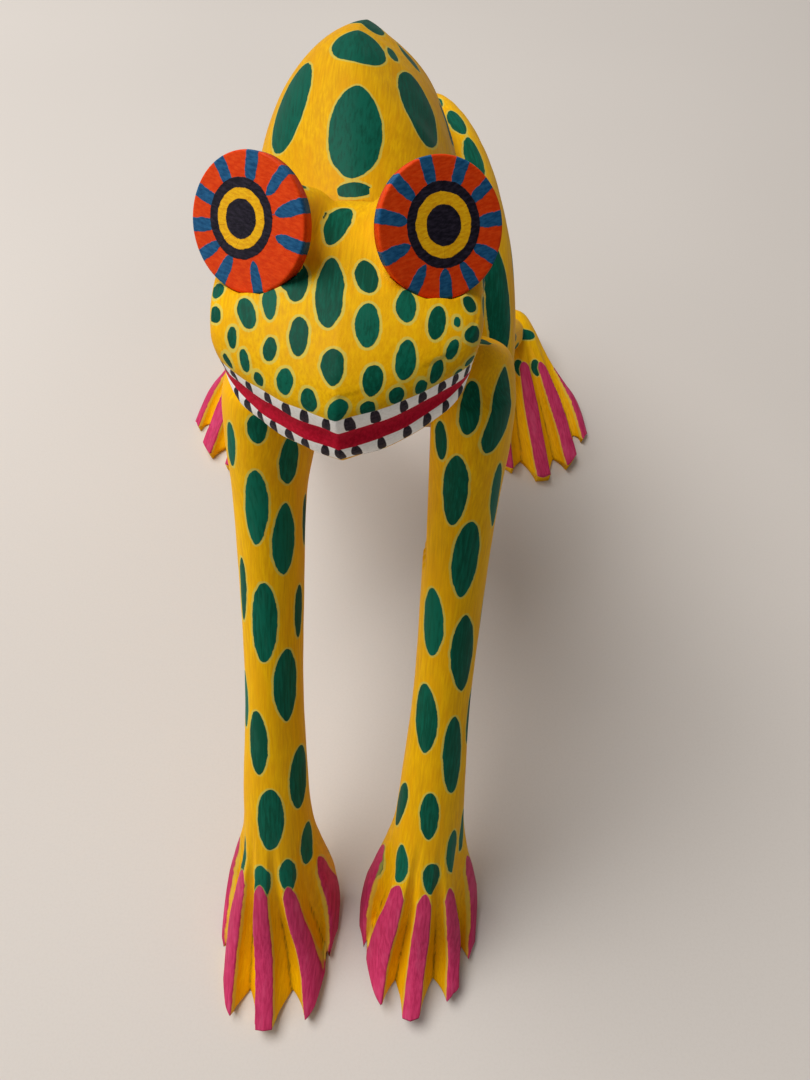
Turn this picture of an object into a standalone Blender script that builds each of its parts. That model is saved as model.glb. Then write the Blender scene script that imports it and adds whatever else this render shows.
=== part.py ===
# Long-legged wooden frog: six carved pieces and two eye discs, pegged and glued.
# Metres, +Z up. The frog faces -Y and stands on the floor plane z = 0.
import math

import bmesh
import bpy
from mathutils import Vector

GAP = 0.0003                    # left between pieces that touch

# Legs: how far each leg's middle line stands from the frog's middle plane
SHOULDER_OUT = 0.0325
FRONT_FOOT_OUT = 0.0312
SHOULDER_DRIFT = 0.0040         # the carving leans a little: both shoulders sit this far to +X
FRONT_FOOT_DRIFT = -0.0052      # both front feet this far to -X
HIND_DRIFT = -0.0015            # and both hind legs this far to -X
WEB_NOTCH = 0.0100              # how far the web stands back between two toes
TOE_SPREAD = 0.24               # half the width of a toe ridge, as a share of the foot's half width

# Toe fans: how far the middle toe runs past the outer ones, how square the fan's front is, and where
# its five toes lie across it
FRONT_FAN = {"reach": 0.034, "square": 5.0, "toes": (-1.0, -0.66, 0.0, 0.66, 1.0)}
HIND_FAN = {"reach": 0.034, "square": 2.2, "toes": (-1.0, -0.62, 0.0, 0.56, 1.0)}

# Neck seam: the flat face between head and torso
NECK_Y = 0.046
NECK_Z = 0.2630
NECK_TILT = math.radians(46)    # the seam runs down and forward at this angle below level

# Eyes
EYE_OUT = 0.0235
EYE_Y = 0.015
EYE_Z = 0.2785
EYE_RADIUS = 0.0162
EYE_THICKNESS = 0.0032
EYE_RIM = 0.0005                # wood of the stalk that shows round the disc
EYE_TURN = math.radians(28)     # each eye looks this far outward
EYE_RAISE = math.radians(35)    # and this far upward
STALK_LENGTH = 0.030
STALK_WAIST = 0.0105
TENON_RADIUS = 0.0045
TENON_LENGTH = 0.009

# Dowels
DOWEL_RADIUS = 0.004
DOWEL_LENGTH = 0.026
PEG_DEPTH = 0.013               # how far each peg goes into the torso; the rest is in the other piece
SHOULDER_PEG = (0.018, 0.207)   # y and z of the peg's middle line
SHOULDER_BLOCK = 0.040          # size of the block that cuts the shoulder's flat face
HIP_PEG = (0.188, 0.186)
SHOULDER_SEAT = 0.0185          # from the middle of the chest to the flat face of each shoulder
HIP_SEAT = 0.0140               # from the middle of the rump to the flat face of each hip

AROUND = 32                     # points round a limb or the torso
HEAD_AROUND = 56

# Each limb is a run of cross-sections: outward from its own line, y, z, half width, half depth, toe ridge height
FRONT_LEG = (
    (-0.0010, 0.0280, 0.2290, 0.0040, 0.0060, 0.0),
    (-0.0010, 0.0265, 0.2265, 0.0105, 0.0150, 0.0),
    (-0.0015, 0.0220, 0.2160, 0.0145, 0.0200, 0.0),
    (-0.0010, 0.0140, 0.2020, 0.0145, 0.0185, 0.0),
    (0.0000, 0.0020, 0.1830, 0.0122, 0.0150, 0.0),
    (0.0000, -0.0190, 0.1510, 0.0112, 0.0125, 0.0),
    (0.0000, -0.0430, 0.1150, 0.0110, 0.0117, 0.0),
    (0.0000, -0.0650, 0.0830, 0.0128, 0.0117, 0.0),
    (0.0000, -0.0790, 0.0615, 0.0162, 0.0125, 0.0),
    (0.0000, -0.0890, 0.0450, 0.0205, 0.0135, 0.0008),
    (0.0000, -0.0990, 0.0290, 0.0238, 0.0140, 0.0026),
    (0.0000, -0.1120, 0.0140, 0.0258, 0.0120, 0.0040),
    (0.0000, -0.1290, 0.0050, 0.0262, 0.0085, 0.0040),
    (0.0000, -0.1500, 0.0005, 0.0258, 0.0048, 0.0026),
)
THIGH = (
    (0.0200, 0.2270, 0.1770, 0.0050, 0.0085, 0.0),
    (0.0210, 0.2210, 0.1790, 0.0100, 0.0155, 0.0),
    (0.0260, 0.1980, 0.1820, 0.0138, 0.0215, 0.0),
    (0.0335, 0.1620, 0.1850, 0.0154, 0.0250, 0.0),
    (0.0390, 0.1220, 0.1845, 0.0158, 0.0255, 0.0),
    (0.0420, 0.0860, 0.1790, 0.0147, 0.0215, 0.0),
    (0.0430, 0.0660, 0.1740, 0.0120, 0.0150, 0.0),
    (0.0435, 0.0570, 0.1720, 0.0060, 0.0075, 0.0),
)
SHANK = (
    (0.0430, 0.0620, 0.1720, 0.0060, 0.0070, 0.0),
    (0.0430, 0.0670, 0.1680, 0.0115, 0.0140, 0.0),
    (0.0440, 0.0900, 0.1480, 0.0120, 0.0155, 0.0),
    (0.0490, 0.1350, 0.1100, 0.0115, 0.0140, 0.0),
    (0.0600, 0.1900, 0.0670, 0.0098, 0.0110, 0.0),
    (0.0730, 0.2330, 0.0340, 0.0110, 0.0115, 0.0),
    (0.0780, 0.2480, 0.0220, 0.0080, 0.0080, 0.0),
)
HIND_FOOT = (
    (0.0780, 0.2660, 0.0150, 0.0050, 0.0060, 0.0),
    (0.0785, 0.2610, 0.0160, 0.0110, 0.0125, 0.0),
    (0.0800, 0.2480, 0.0170, 0.0150, 0.0160, 0.0),
    (0.0830, 0.2290, 0.0130, 0.0205, 0.0150, 0.0010),
    (0.0870, 0.2050, 0.0080, 0.0270, 0.0125, 0.0036),
    (0.0915, 0.1770, 0.0035, 0.0325, 0.0090, 0.0044),
    (0.0970, 0.1410, 0.0005, 0.0345, 0.0052, 0.0030),
)

# Torso cross-sections: how far the middle leans to +X, y, top, bottom, half width
TORSO = (
    (SHOULDER_DRIFT, 0.0060, 0.2220, 0.2080, 0.0090),
    (SHOULDER_DRIFT, 0.0120, 0.2300, 0.1990, 0.0170),
    (SHOULDER_DRIFT, 0.0250, 0.2460, 0.1900, 0.0250),
    (0.0010, 0.0420, 0.2610, 0.1830, 0.0305),
    (-0.0020, 0.0600, 0.2665, 0.1770, 0.0340),
    (-0.0045, 0.0900, 0.2715, 0.1710, 0.0350),
    (-0.0050, 0.1200, 0.2700, 0.1670, 0.0340),
    (-0.0045, 0.1500, 0.2600, 0.1650, 0.0300),
    (-0.0030, 0.1800, 0.2420, 0.1650, 0.0250),
    (HIND_DRIFT, 0.2070, 0.2190, 0.1680, 0.0185),
    (HIND_DRIFT, 0.2270, 0.1990, 0.1740, 0.0115),
    (HIND_DRIFT, 0.2340, 0.1900, 0.1800, 0.0050),
)
TORSO_WIDEST = 0.55             # height of the widest line, as a share from bottom to top
RIDGE_PINCH = 1.15              # above 1 narrows the back towards its ridge

# Head: the right half of its outline from above, snout tip to nape
HEAD_OUTLINE = (
    (0.0000, -0.0285),
    (0.0110, -0.0240),
    (0.0220, -0.0172),
    (0.0305, -0.0100),
    (0.0345, -0.0030),
    (0.0365, 0.0100),
    (0.0370, 0.0250),
    (0.0350, 0.0420),
    (0.0290, 0.0560),
    (0.0160, 0.0650),
    (0.0000, 0.0670),
)
HEAD_MIDDLE_Y = 0.022
# Level rings of the head from chin to crown: share of the outline at the mouth, share elsewhere, z
HEAD_RINGS = (
    (0.300, 0.300, 0.2290),
    (0.620, 0.620, 0.2300),
    (0.840, 0.830, 0.2345),
    (0.940, 0.920, 0.2395),
    (0.995, 0.965, 0.2440),
    (1.000, 0.985, 0.2475),
    (0.975, 0.995, 0.2500),
    (0.970, 1.000, 0.2515),
    (0.985, 1.000, 0.2535),
    (0.985, 0.998, 0.2570),
    (0.960, 0.980, 0.2598),
    (0.880, 0.900, 0.2633),
    (0.720, 0.730, 0.2670),
    (0.480, 0.480, 0.2700),
    (0.220, 0.220, 0.2712),
)
MOUTH_CORNER_Y = -0.008         # behind this the rings have no lips
MOUTH_FADE = 0.008
NAPE_DROP = 0.022               # how far the crown has fallen at the nape

YELLOW = (0.87, 0.54, 0.0)
ORANGE = (0.60, 0.08, 0.02)
BARE_WOOD = (0.55, 0.40, 0.25)


def clear_scene():
    for item in list(bpy.data.objects):
        bpy.data.objects.remove(item)


def material(name, colour, roughness):
    made = bpy.data.materials.new(name)
    made.use_nodes = True
    shader = made.node_tree.nodes["Principled BSDF"]
    shader.inputs["Base Color"].default_value = (*colour, 1.0)
    shader.inputs["Roughness"].default_value = roughness
    shader.inputs["Metallic"].default_value = 0.0
    return made


def curve_value(before, here, there, after, t):
    # Catmull-Rom value between here (t = 0) and there (t = 1)
    bend = 2 * before - 5 * here + 4 * there - after
    twist = 3 * (here - there) + after - before
    return 0.5 * (2 * here + (there - before) * t + bend * t * t + twist * t ** 3)


def smooth_run(stations, steps):
    # The stations with steps - 1 more placed smoothly between each two of them
    padded = [stations[0], *stations, stations[-1]]
    run = []
    for i in range(len(stations) - 1):
        four = padded[i:i + 4]
        for k in range(steps):
            run.append([curve_value(*values, k / steps) for values in zip(*four)])
    run.append(list(stations[-1]))
    return run


def close_toes(mesh, loop):
    # Joins the top edge along the toe tips straight down to the sole
    half = len(loop) // 2
    for k in range(1, half - 1):
        mesh.faces.new((loop[k], loop[k + 1], loop[-k - 1], loop[-k]))
    mesh.faces.new((loop[0], loop[1], loop[-1]))
    mesh.faces.new((loop[half - 1], loop[half], loop[half + 1]))


def skin(rings, toes=False):
    # A closed skin over rings of points
    mesh = bmesh.new()
    loops = [[mesh.verts.new(point) for point in ring] for ring in rings]
    for lower, upper in zip(loops, loops[1:]):
        for i in range(len(lower)):
            j = (i + 1) % len(lower)
            mesh.faces.new((lower[i], lower[j], upper[j], upper[i]))
    mesh.faces.new(reversed(loops[0]))
    if toes:
        close_toes(mesh, loops[-1])
    else:
        mesh.faces.new(loops[-1])
    bmesh.ops.recalc_face_normals(mesh, faces=mesh.faces)
    return mesh


def trim(mesh, point, normal):
    # Cuts away what lies against the normal and closes the cut with one flat face
    everything = [*mesh.verts, *mesh.edges, *mesh.faces]
    cut = bmesh.ops.bisect_plane(
        mesh, geom=everything, plane_co=point, plane_no=normal, clear_inner=True
    )
    rim = [item for item in cut["geom_cut"] if isinstance(item, bmesh.types.BMEdge)]
    bmesh.ops.edgeloop_fill(mesh, edges=rim)
    bmesh.ops.recalc_face_normals(mesh, faces=mesh.faces)


def make_object(name, mesh, finish):
    data = bpy.data.meshes.new(name)
    mesh.to_mesh(data)
    mesh.free()
    data.materials.append(finish)
    data.shade_smooth()
    data.set_sharp_from_angle(angle=math.radians(40))
    made = bpy.data.objects.new(name, data)
    bpy.context.scene.collection.objects.link(made)
    return made


def as_tool(made):
    # A shape that only cuts or joins another one
    made.hide_render = True
    made.display_type = "WIRE"
    return made


def combine(target, tool, operation):
    change = target.modifiers.new(operation.title(), "BOOLEAN")
    change.operation = operation
    change.solver = "EXACT"
    change.object = tool


def toe_ridge(across, toes):
    # 1 along the middle of each toe, 0 on the web beside it
    nearest = min(abs(across - toe) for toe in toes)
    return 0.5 + 0.5 * math.cos(math.pi * min(1.0, nearest / TOE_SPREAD))


def limb_rings(stations, steps, side, shift, grow=0.0, fan=None):
    # Rings square to the limb's line. shift(z) moves them along X, and grow fattens them for a cutter
    run = smooth_run(stations, steps)
    centres = [Vector((side * s[0] + shift(s[2]), s[1], s[2])) for s in run]
    rings = []
    for i, (centre, station) in enumerate(zip(centres, run)):
        ahead = (centres[min(i + 1, len(run) - 1)] - centres[max(i - 1, 0)]).normalized()
        across = ahead.cross(Vector((0, 0, 1))).normalized()
        if across.x < 0:
            across = -across
        lift = across.cross(ahead)
        if lift.dot(Vector((0, -1, 2))) < 0:
            lift = -lift
        if i == 0:
            centre = centre - ahead * grow
        if i == len(run) - 1:
            centre = centre + ahead * grow
        level = Vector((ahead.x, ahead.y, 0)).normalized()
        half_width = station[3] + grow
        half_depth = station[4] + grow
        ridge = station[5]
        along = max(0.0, i / (len(run) - 1) - 0.55) / 0.45 if fan else 0.0
        ring = []
        for k in range(AROUND):
            angle = 2 * math.pi * k / AROUND
            flat = min(1.0, along * 1.6)
            share = math.cos(angle)
            even = 1 - 2 * (angle / math.pi) if angle <= math.pi else 2 * (angle / math.pi) - 3
            share = share * (1 - flat) + even * flat
            height = math.sin(angle)
            boxy = abs(height) ** (1 - 0.55 * flat) * (1 if height >= 0 else -1)
            point = centre + across * (half_width * share) + lift * (half_depth * boxy)
            if fan:
                toe = toe_ridge(share * side, fan["toes"])
                back = fan["reach"] * abs(share) ** fan["square"] * along ** 1.2
                back += WEB_NOTCH * (1 - toe) * along ** 4
                point -= level * back
                if height > 0.01:
                    point += lift * (ridge * (toe - 0.5))
                point.z = max(point.z, 0.0)
            ring.append(point)
        rings.append(ring)
    return rings


def front_leg_mesh(side, grow=0.0):
    top = FRONT_LEG[0][2]

    def shift(z):
        share = max(0.0, min(1.0, z / top))
        foot = side * FRONT_FOOT_OUT + FRONT_FOOT_DRIFT
        shoulder = side * SHOULDER_OUT + SHOULDER_DRIFT
        return foot + (shoulder - foot) * share

    return skin(limb_rings(FRONT_LEG, 2, side, shift, grow, FRONT_FAN), toes=True)


def shoulder_block(side, gap):
    # Everything between the chest's middle and the flat face of one shoulder
    face = SHOULDER_DRIFT + side * (SHOULDER_SEAT + gap)
    near = face - side * SHOULDER_BLOCK
    mesh = bmesh.new()
    bmesh.ops.create_cube(mesh, size=1.0)
    size = (SHOULDER_BLOCK, SHOULDER_BLOCK * 3, SHOULDER_BLOCK * 2)
    bmesh.ops.scale(mesh, vec=size, verts=mesh.verts)
    middle = ((face + near) / 2, SHOULDER_PEG[0], SHOULDER_PEG[1])
    bmesh.ops.translate(mesh, vec=middle, verts=mesh.verts)
    return mesh


def hind_leg_part(stations, side, grow=0.0, fan=None):
    return skin(limb_rings(stations, 2, side, lambda z: HIND_DRIFT, grow, fan), toes=fan is not None)


def hind_leg(side, name, finish, cutters):
    thigh = hind_leg_part(THIGH, side)
    trim(thigh, (HIND_DRIFT + side * (HIP_SEAT + GAP), 0, 0), (side, 0, 0))
    made = make_object(name, thigh, finish)
    shank = as_tool(make_object(name + "_shank", hind_leg_part(SHANK, side), finish))
    foot = as_tool(make_object(name + "_foot", hind_leg_part(HIND_FOOT, side, 0.0, HIND_FAN), finish))
    combine(made, shank, "UNION")
    combine(made, foot, "UNION")
    for cutter in cutters:
        combine(made, cutter, "DIFFERENCE")
    return made


def seam_normal():
    # Points from the torso towards the head, square to the neck seam
    return Vector((0, -math.sin(NECK_TILT), math.cos(NECK_TILT)))


def seam_point():
    return Vector((0, NECK_Y, NECK_Z))


def torso_mesh():
    rings = []
    for lean, y, top, bottom, half_width in smooth_run(TORSO, 2):
        middle = bottom + TORSO_WIDEST * (top - bottom)
        ring = []
        for k in range(AROUND):
            angle = 2 * math.pi * k / AROUND
            rise = math.cos(angle)
            reach = abs(math.sin(angle)) ** (RIDGE_PINCH if rise > 0 else 1.0)
            out = math.copysign(half_width * reach, math.sin(angle))
            z = middle + rise * (top - middle if rise > 0 else middle - bottom)
            ring.append(Vector((lean + out, y, z)))
        rings.append(ring)
    mesh = skin(rings)
    trim(mesh, seam_point() - seam_normal() * GAP / 2, -seam_normal())
    return mesh


def head_outline():
    right = smooth_run(HEAD_OUTLINE, 4)
    left = [(-x, y) for x, y in reversed(right[1:-1])]
    outline = right + left
    lengths = [0.0]
    closed = outline + outline[:1]
    for here, there in zip(closed, closed[1:]):
        lengths.append(lengths[-1] + math.dist(here, there))
    even = []
    at = 0
    for k in range(HEAD_AROUND):
        want = lengths[-1] * k / HEAD_AROUND
        while lengths[at + 1] < want:
            at += 1
        share = (want - lengths[at]) / (lengths[at + 1] - lengths[at])
        here, there = closed[at], closed[at + 1]
        even.append([a + (b - a) * share for a, b in zip(here, there)])
    return even


def head_mesh():
    outline = head_outline()
    rings = []
    for at_mouth, elsewhere, z in HEAD_RINGS:
        ring = []
        for x, y in outline:
            lips = max(0.0, min(1.0, (MOUTH_CORNER_Y - y) / MOUTH_FADE + 0.5))
            size = at_mouth * lips + elsewhere * (1 - lips)
            behind = max(0.0, (y - HEAD_MIDDLE_Y) * size / (HEAD_OUTLINE[-1][1] - HEAD_MIDDLE_Y))
            drop = NAPE_DROP * behind ** 2
            ring.append(Vector((x * size, HEAD_MIDDLE_Y + (y - HEAD_MIDDLE_Y) * size, z - drop)))
        rings.append(ring)
    return skin(rings)


def turned(profile, base, axis, points=AROUND):
    # A turned shape: profile gives radius and distance along the axis from the base
    side = axis.orthogonal().normalized()
    other = axis.cross(side)
    rings = []
    for radius, distance in profile:
        ring = []
        for k in range(points):
            angle = 2 * math.pi * k / points
            spoke = side * math.cos(angle) + other * math.sin(angle)
            ring.append(base + axis * distance + spoke * radius)
        rings.append(ring)
    return skin(rings)


def eye_axis(side):
    level = math.cos(EYE_RAISE)
    out = side * math.sin(EYE_TURN) * level
    return Vector((out, -math.cos(EYE_TURN) * level, math.sin(EYE_RAISE)))


def eye_centre(side):
    return Vector((side * EYE_OUT, EYE_Y, EYE_Z))


def stalk_mesh(side):
    rim = EYE_RADIUS + EYE_RIM + GAP
    profile = (
        (STALK_WAIST * 0.98, -STALK_LENGTH),
        (STALK_WAIST, -STALK_LENGTH * 0.60),
        (STALK_WAIST * 1.12, -STALK_LENGTH * 0.36),
        (rim * 0.84, -STALK_LENGTH * 0.18),
        (rim, -STALK_LENGTH * 0.06),
        (rim, 0.0),
    )
    return turned(profile, eye_centre(side), eye_axis(side))


def eye_mesh(side, grow=0.0):
    # A flat disc with a tenon behind it; grown, it cuts its own seat
    front = 0.002 if grow else 0.0
    profile = (
        (TENON_RADIUS + grow, -EYE_THICKNESS - TENON_LENGTH - grow),
        (TENON_RADIUS + grow, -EYE_THICKNESS - grow),
        (EYE_RADIUS + grow, -EYE_THICKNESS - grow),
        (EYE_RADIUS + grow, front),
    )
    return turned(profile, eye_centre(side), eye_axis(side), 48)


def dowel_mesh(seam, outward, grow=0.0):
    radius = DOWEL_RADIUS + grow
    start = -PEG_DEPTH - grow
    end = DOWEL_LENGTH - PEG_DEPTH + grow
    return turned(((radius, start), (radius, end)), seam, outward, 20)


def neck_peg_seam():
    # Halfway down the seam, below the crown
    down = Vector((0, -math.cos(NECK_TILT), -math.sin(NECK_TILT)))
    return seam_point() + down * 0.024


def build():
    clear_scene()
    yellow = material("yellow_paint", YELLOW, 0.45)
    orange = material("orange_paint", ORANGE, 0.45)
    wood = material("bare_wood", BARE_WOOD, 0.7)

    torso = make_object("torso", torso_mesh(), yellow)
    head = make_object("head", head_mesh(), yellow)
    for side, word in ((1, "right"), (-1, "left")):
        stalk = as_tool(make_object(word + "_stalk_tool", stalk_mesh(side), yellow))
        combine(head, stalk, "UNION")
    nape_tool = bmesh.new()
    bmesh.ops.create_cube(nape_tool, size=0.2)
    nape = as_tool(make_object("nape_tool", nape_tool, wood))
    nape.rotation_mode = "QUATERNION"
    nape.rotation_quaternion = (-seam_normal()).to_track_quat("Z", "X")
    nape.location = seam_point() + seam_normal() * GAP / 2 - seam_normal() * 0.1
    combine(head, nape, "DIFFERENCE")

    pegs = [("neck_dowel", neck_peg_seam(), seam_normal(), (torso, head))]
    for side, word in ((1, "right"), (-1, "left")):
        grown_leg = as_tool(make_object(word + "_shoulder_tool", front_leg_mesh(side, GAP), wood))
        grown_flat = as_tool(make_object(word + "_seat_tool", shoulder_block(side, 0.0), wood))
        combine(grown_leg, grown_flat, "DIFFERENCE")
        grown_thigh_mesh = hind_leg_part(THIGH, side, GAP)
        trim(grown_thigh_mesh, (HIND_DRIFT + side * HIP_SEAT, 0, 0), (side, 0, 0))
        grown_thigh = as_tool(make_object(word + "_hip_tool", grown_thigh_mesh, wood))
        combine(torso, grown_leg, "DIFFERENCE")
        combine(torso, grown_thigh, "DIFFERENCE")
        combine(head, grown_leg, "DIFFERENCE")
        front = make_object(word + "_front_leg", front_leg_mesh(side), yellow)
        flat = as_tool(make_object(word + "_flat_tool", shoulder_block(side, GAP), wood))
        combine(front, flat, "DIFFERENCE")
        hind = hind_leg(side, word + "_hind_leg", yellow, [grown_leg])
        shoulder = Vector((SHOULDER_DRIFT + side * SHOULDER_SEAT, *SHOULDER_PEG))
        hip = Vector((HIND_DRIFT + side * HIP_SEAT, *HIP_PEG))
        outward = Vector((side, 0, 0))
        pegs.append((word + "_shoulder_dowel", shoulder, outward, (torso, front)))
        pegs.append((word + "_hip_dowel", hip, outward, (torso, hind)))
        make_object(word + "_eye", eye_mesh(side), orange)
        socket = as_tool(make_object(word + "_socket_tool", eye_mesh(side, GAP), wood))
        combine(head, socket, "DIFFERENCE")
    for name, seam, outward, held in pegs:
        make_object(name, dowel_mesh(seam, outward), wood)
        hole = as_tool(make_object(name + "_hole_tool", dowel_mesh(seam, outward, GAP), wood))
        for piece in held:
            combine(piece, hole, "DIFFERENCE")


def centre_on_floor():
    # Everything hangs from one empty, placed so that the box round the frog stands centred on the origin
    pieces = [made for made in bpy.data.objects if made.type == "MESH"]
    bpy.context.view_layer.update()
    depsgraph = bpy.context.evaluated_depsgraph_get()
    corners = []
    for made in pieces:
        if not made.hide_render:
            evaluated = made.evaluated_get(depsgraph)
            corners += [evaluated.matrix_world @ vertex.co for vertex in evaluated.data.vertices]
    stand = bpy.data.objects.new("stand", None)
    bpy.context.scene.collection.objects.link(stand)
    for made in pieces:
        made.parent = stand
    lows = [min(corner[i] for corner in corners) for i in range(3)]
    highs = [max(corner[i] for corner in corners) for i in range(3)]
    stand.location = (-(lows[0] + highs[0]) / 2, -(lows[1] + highs[1]) / 2, -lows[2])
    print("stand moved by", *(round(value, 5) for value in stand.location))


build()
centre_on_floor()
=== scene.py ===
import math
import bmesh
import bpy
import numpy as np
from mathutils import Matrix, Vector
from mathutils.bvhtree import BVHTree


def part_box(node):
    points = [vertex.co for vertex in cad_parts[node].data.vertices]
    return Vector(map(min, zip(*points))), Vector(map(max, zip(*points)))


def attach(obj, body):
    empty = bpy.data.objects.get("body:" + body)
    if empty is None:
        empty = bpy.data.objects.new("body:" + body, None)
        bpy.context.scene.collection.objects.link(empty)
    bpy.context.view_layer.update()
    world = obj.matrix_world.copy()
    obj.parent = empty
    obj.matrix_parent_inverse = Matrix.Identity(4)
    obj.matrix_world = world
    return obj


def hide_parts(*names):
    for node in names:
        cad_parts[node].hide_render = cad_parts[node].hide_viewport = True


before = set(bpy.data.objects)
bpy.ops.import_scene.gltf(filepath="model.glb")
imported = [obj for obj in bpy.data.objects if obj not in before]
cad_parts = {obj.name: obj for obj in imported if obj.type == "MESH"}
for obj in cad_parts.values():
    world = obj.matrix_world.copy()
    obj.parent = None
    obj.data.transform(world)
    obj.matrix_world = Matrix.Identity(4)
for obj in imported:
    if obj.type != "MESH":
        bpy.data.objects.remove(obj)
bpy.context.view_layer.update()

# Lengths are in millimetres here and become metres when a mesh is made
millimetre = 0.001
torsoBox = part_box("torso")
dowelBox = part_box("neck_dowel")
origin = np.array([(dowelBox[0][0] + dowelBox[1][0]) / 2, torsoBox[1][1] - 0.234, 0.0])


# ---- shader graphs

class Wire:
    def __init__(self, graph, socket):
        self.graph = graph
        self.socket = socket

    def join(self, operation, first, second):
        return self.graph.add("ShaderNodeMath", {"operation": operation}, {0: first, 1: second})

    def __add__(self, other):
        return self.join("ADD", self, other)

    def __radd__(self, other):
        return self.join("ADD", other, self)

    def __sub__(self, other):
        return self.join("SUBTRACT", self, other)

    def __rsub__(self, other):
        return self.join("SUBTRACT", other, self)

    def __mul__(self, other):
        return self.join("MULTIPLY", self, other)

    def __rmul__(self, other):
        return self.join("MULTIPLY", other, self)

    def __truediv__(self, other):
        return self.join("DIVIDE", self, other)

    def __pow__(self, other):
        return self.join("POWER", self, other)


class Graph:
    def __init__(self, name):
        self.material = bpy.data.materials.new(name)
        self.material.use_nodes = True
        self.tree = self.material.node_tree
        self.shader = self.tree.nodes["Principled BSDF"]

    def feed(self, socket, value):
        if isinstance(value, Wire):
            self.tree.links.new(value.socket, socket)
        else:
            socket.default_value = value

    def add(self, kind, settings, inputs, output=0):
        made = self.tree.nodes.new(kind)
        for key, value in settings.items():
            setattr(made, key, value)
        for key, value in inputs.items():
            self.feed(made.inputs[key], value)
        return Wire(self, made.outputs[output])

    def attribute(self, name, output="Fac"):
        return self.add("ShaderNodeAttribute", {"attribute_name": name}, {}, output)

    def noise(self, vector, scale, detail=2.0, roughness=0.5):
        inputs = {"Vector": vector, "Scale": scale, "Detail": detail, "Roughness": roughness}
        return self.add("ShaderNodeTexNoise", {}, inputs)

    def scaled(self, vector, factors):
        return self.add("ShaderNodeVectorMath", {"operation": "MULTIPLY"}, {0: vector, 1: factors})

    def length(self, vector):
        return self.add("ShaderNodeVectorMath", {"operation": "LENGTH"}, {0: vector}, "Value")

    def shifted(self, vector, offset):
        return self.add("ShaderNodeVectorMath", {"operation": "ADD"}, {0: vector, 1: offset})

    def ramp(self, value, low, high, start=0.0, end=1.0):
        inputs = {"Value": value, 1: low, 2: high, 3: start, 4: end}
        return self.add("ShaderNodeMapRange", {"interpolation_type": "SMOOTHSTEP"}, inputs)

    def mix(self, factor, first, second):
        return self.add("ShaderNodeMix", {"data_type": "RGBA"}, {0: factor, 6: first, 7: second}, 2)

    def least(self, first, second):
        return self.add("ShaderNodeMath", {"operation": "MINIMUM"}, {0: first, 1: second})

    def most(self, first, second):
        return self.add("ShaderNodeMath", {"operation": "MAXIMUM"}, {0: first, 1: second})

    def bump(self, height, distance, strength=1.0):
        inputs = {"Height": height, "Distance": distance, "Strength": strength}
        return self.add("ShaderNodeBump", {}, inputs)

    def finish(self, colour, roughness, normal, **constants):
        self.feed(self.shader.inputs["Base Color"], colour)
        self.feed(self.shader.inputs["Roughness"], roughness)
        self.feed(self.shader.inputs["Normal"], normal)
        for name, value in constants.items():
            self.shader.inputs[name.replace("_", " ")].default_value = value
        return self.material


def tone(red, green, blue):
    # Linear colour for a screen value from 0 to 255
    linear = []
    for value in (red, green, blue):
        share = value / 255
        linear.append(share / 12.92 if share <= 0.04045 else ((share + 0.055) / 1.055) ** 2.4)
    return (*linear, 1.0)


# ---- shapes

def smoothRun(table, steps):
    rows = np.array(table, float)
    padded = np.vstack([rows[:1], rows, rows[-1:]])
    t = (np.arange(steps) / steps)[:, None]
    run = []
    for i in range(len(rows) - 1):
        a, b, c, d = padded[i:i + 4]
        run.append(0.5 * (2 * b + (c - a) * t + (2 * a - 5 * b + 4 * c - d) * t ** 2 + (3 * (b - c) + d - a) * t ** 3))
    run.append(rows[-1:])
    return np.vstack(run)


def unit(vectors):
    return vectors / np.linalg.norm(vectors, axis=-1, keepdims=True)


def uneven(points, amount):
    # The slow unevenness that a knife leaves, the same wherever it is asked for
    x, y, z = points[..., 0], points[..., 1], points[..., 2]
    wave = np.sin(0.21 * x + 0.13 * y + 1.3) + np.sin(0.17 * y - 0.19 * z + 0.4)
    wave = wave + 0.6 * np.sin(0.43 * x - 0.31 * y + 0.27 * z) + 0.5 * np.sin(0.37 * z + 0.52 * x + 2.1)
    return wave * amount / 3


def gridMesh(name, grid, values=None, capEnd="fan"):
    # A closed skin over rings of points; values hold one number or vector for each point
    rings, around = grid.shape[:2]
    points = [tuple(p) for p in grid.reshape(-1, 3)]
    index = np.arange(rings * around).reshape(rings, around)
    faces = []
    following = np.roll(index, -1, axis=1)
    for i in range(rings - 1):
        faces += np.column_stack([index[i], following[i], following[i + 1], index[i + 1]]).tolist()
    extra = {key: [] for key in values or {}}
    faces += capFaces(points, index[0][::-1], values, extra, "fan")
    faces += capFaces(points, index[-1], values, extra, capEnd)
    mesh = bpy.data.meshes.new(name)
    mesh.from_pydata([tuple(np.array(p) * millimetre) for p in points], [], faces)
    mesh.update()
    for key, array in (values or {}).items():
        flat = array.reshape(rings * around, -1)
        if extra[key]:
            flat = np.vstack([flat, np.array(extra[key]).reshape(len(extra[key]), -1)])
        setValues(mesh, key, flat)
    build = bmesh.new()
    build.from_mesh(mesh)
    bmesh.ops.recalc_face_normals(build, faces=build.faces)
    build.to_mesh(mesh)
    build.free()
    return mesh


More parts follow.
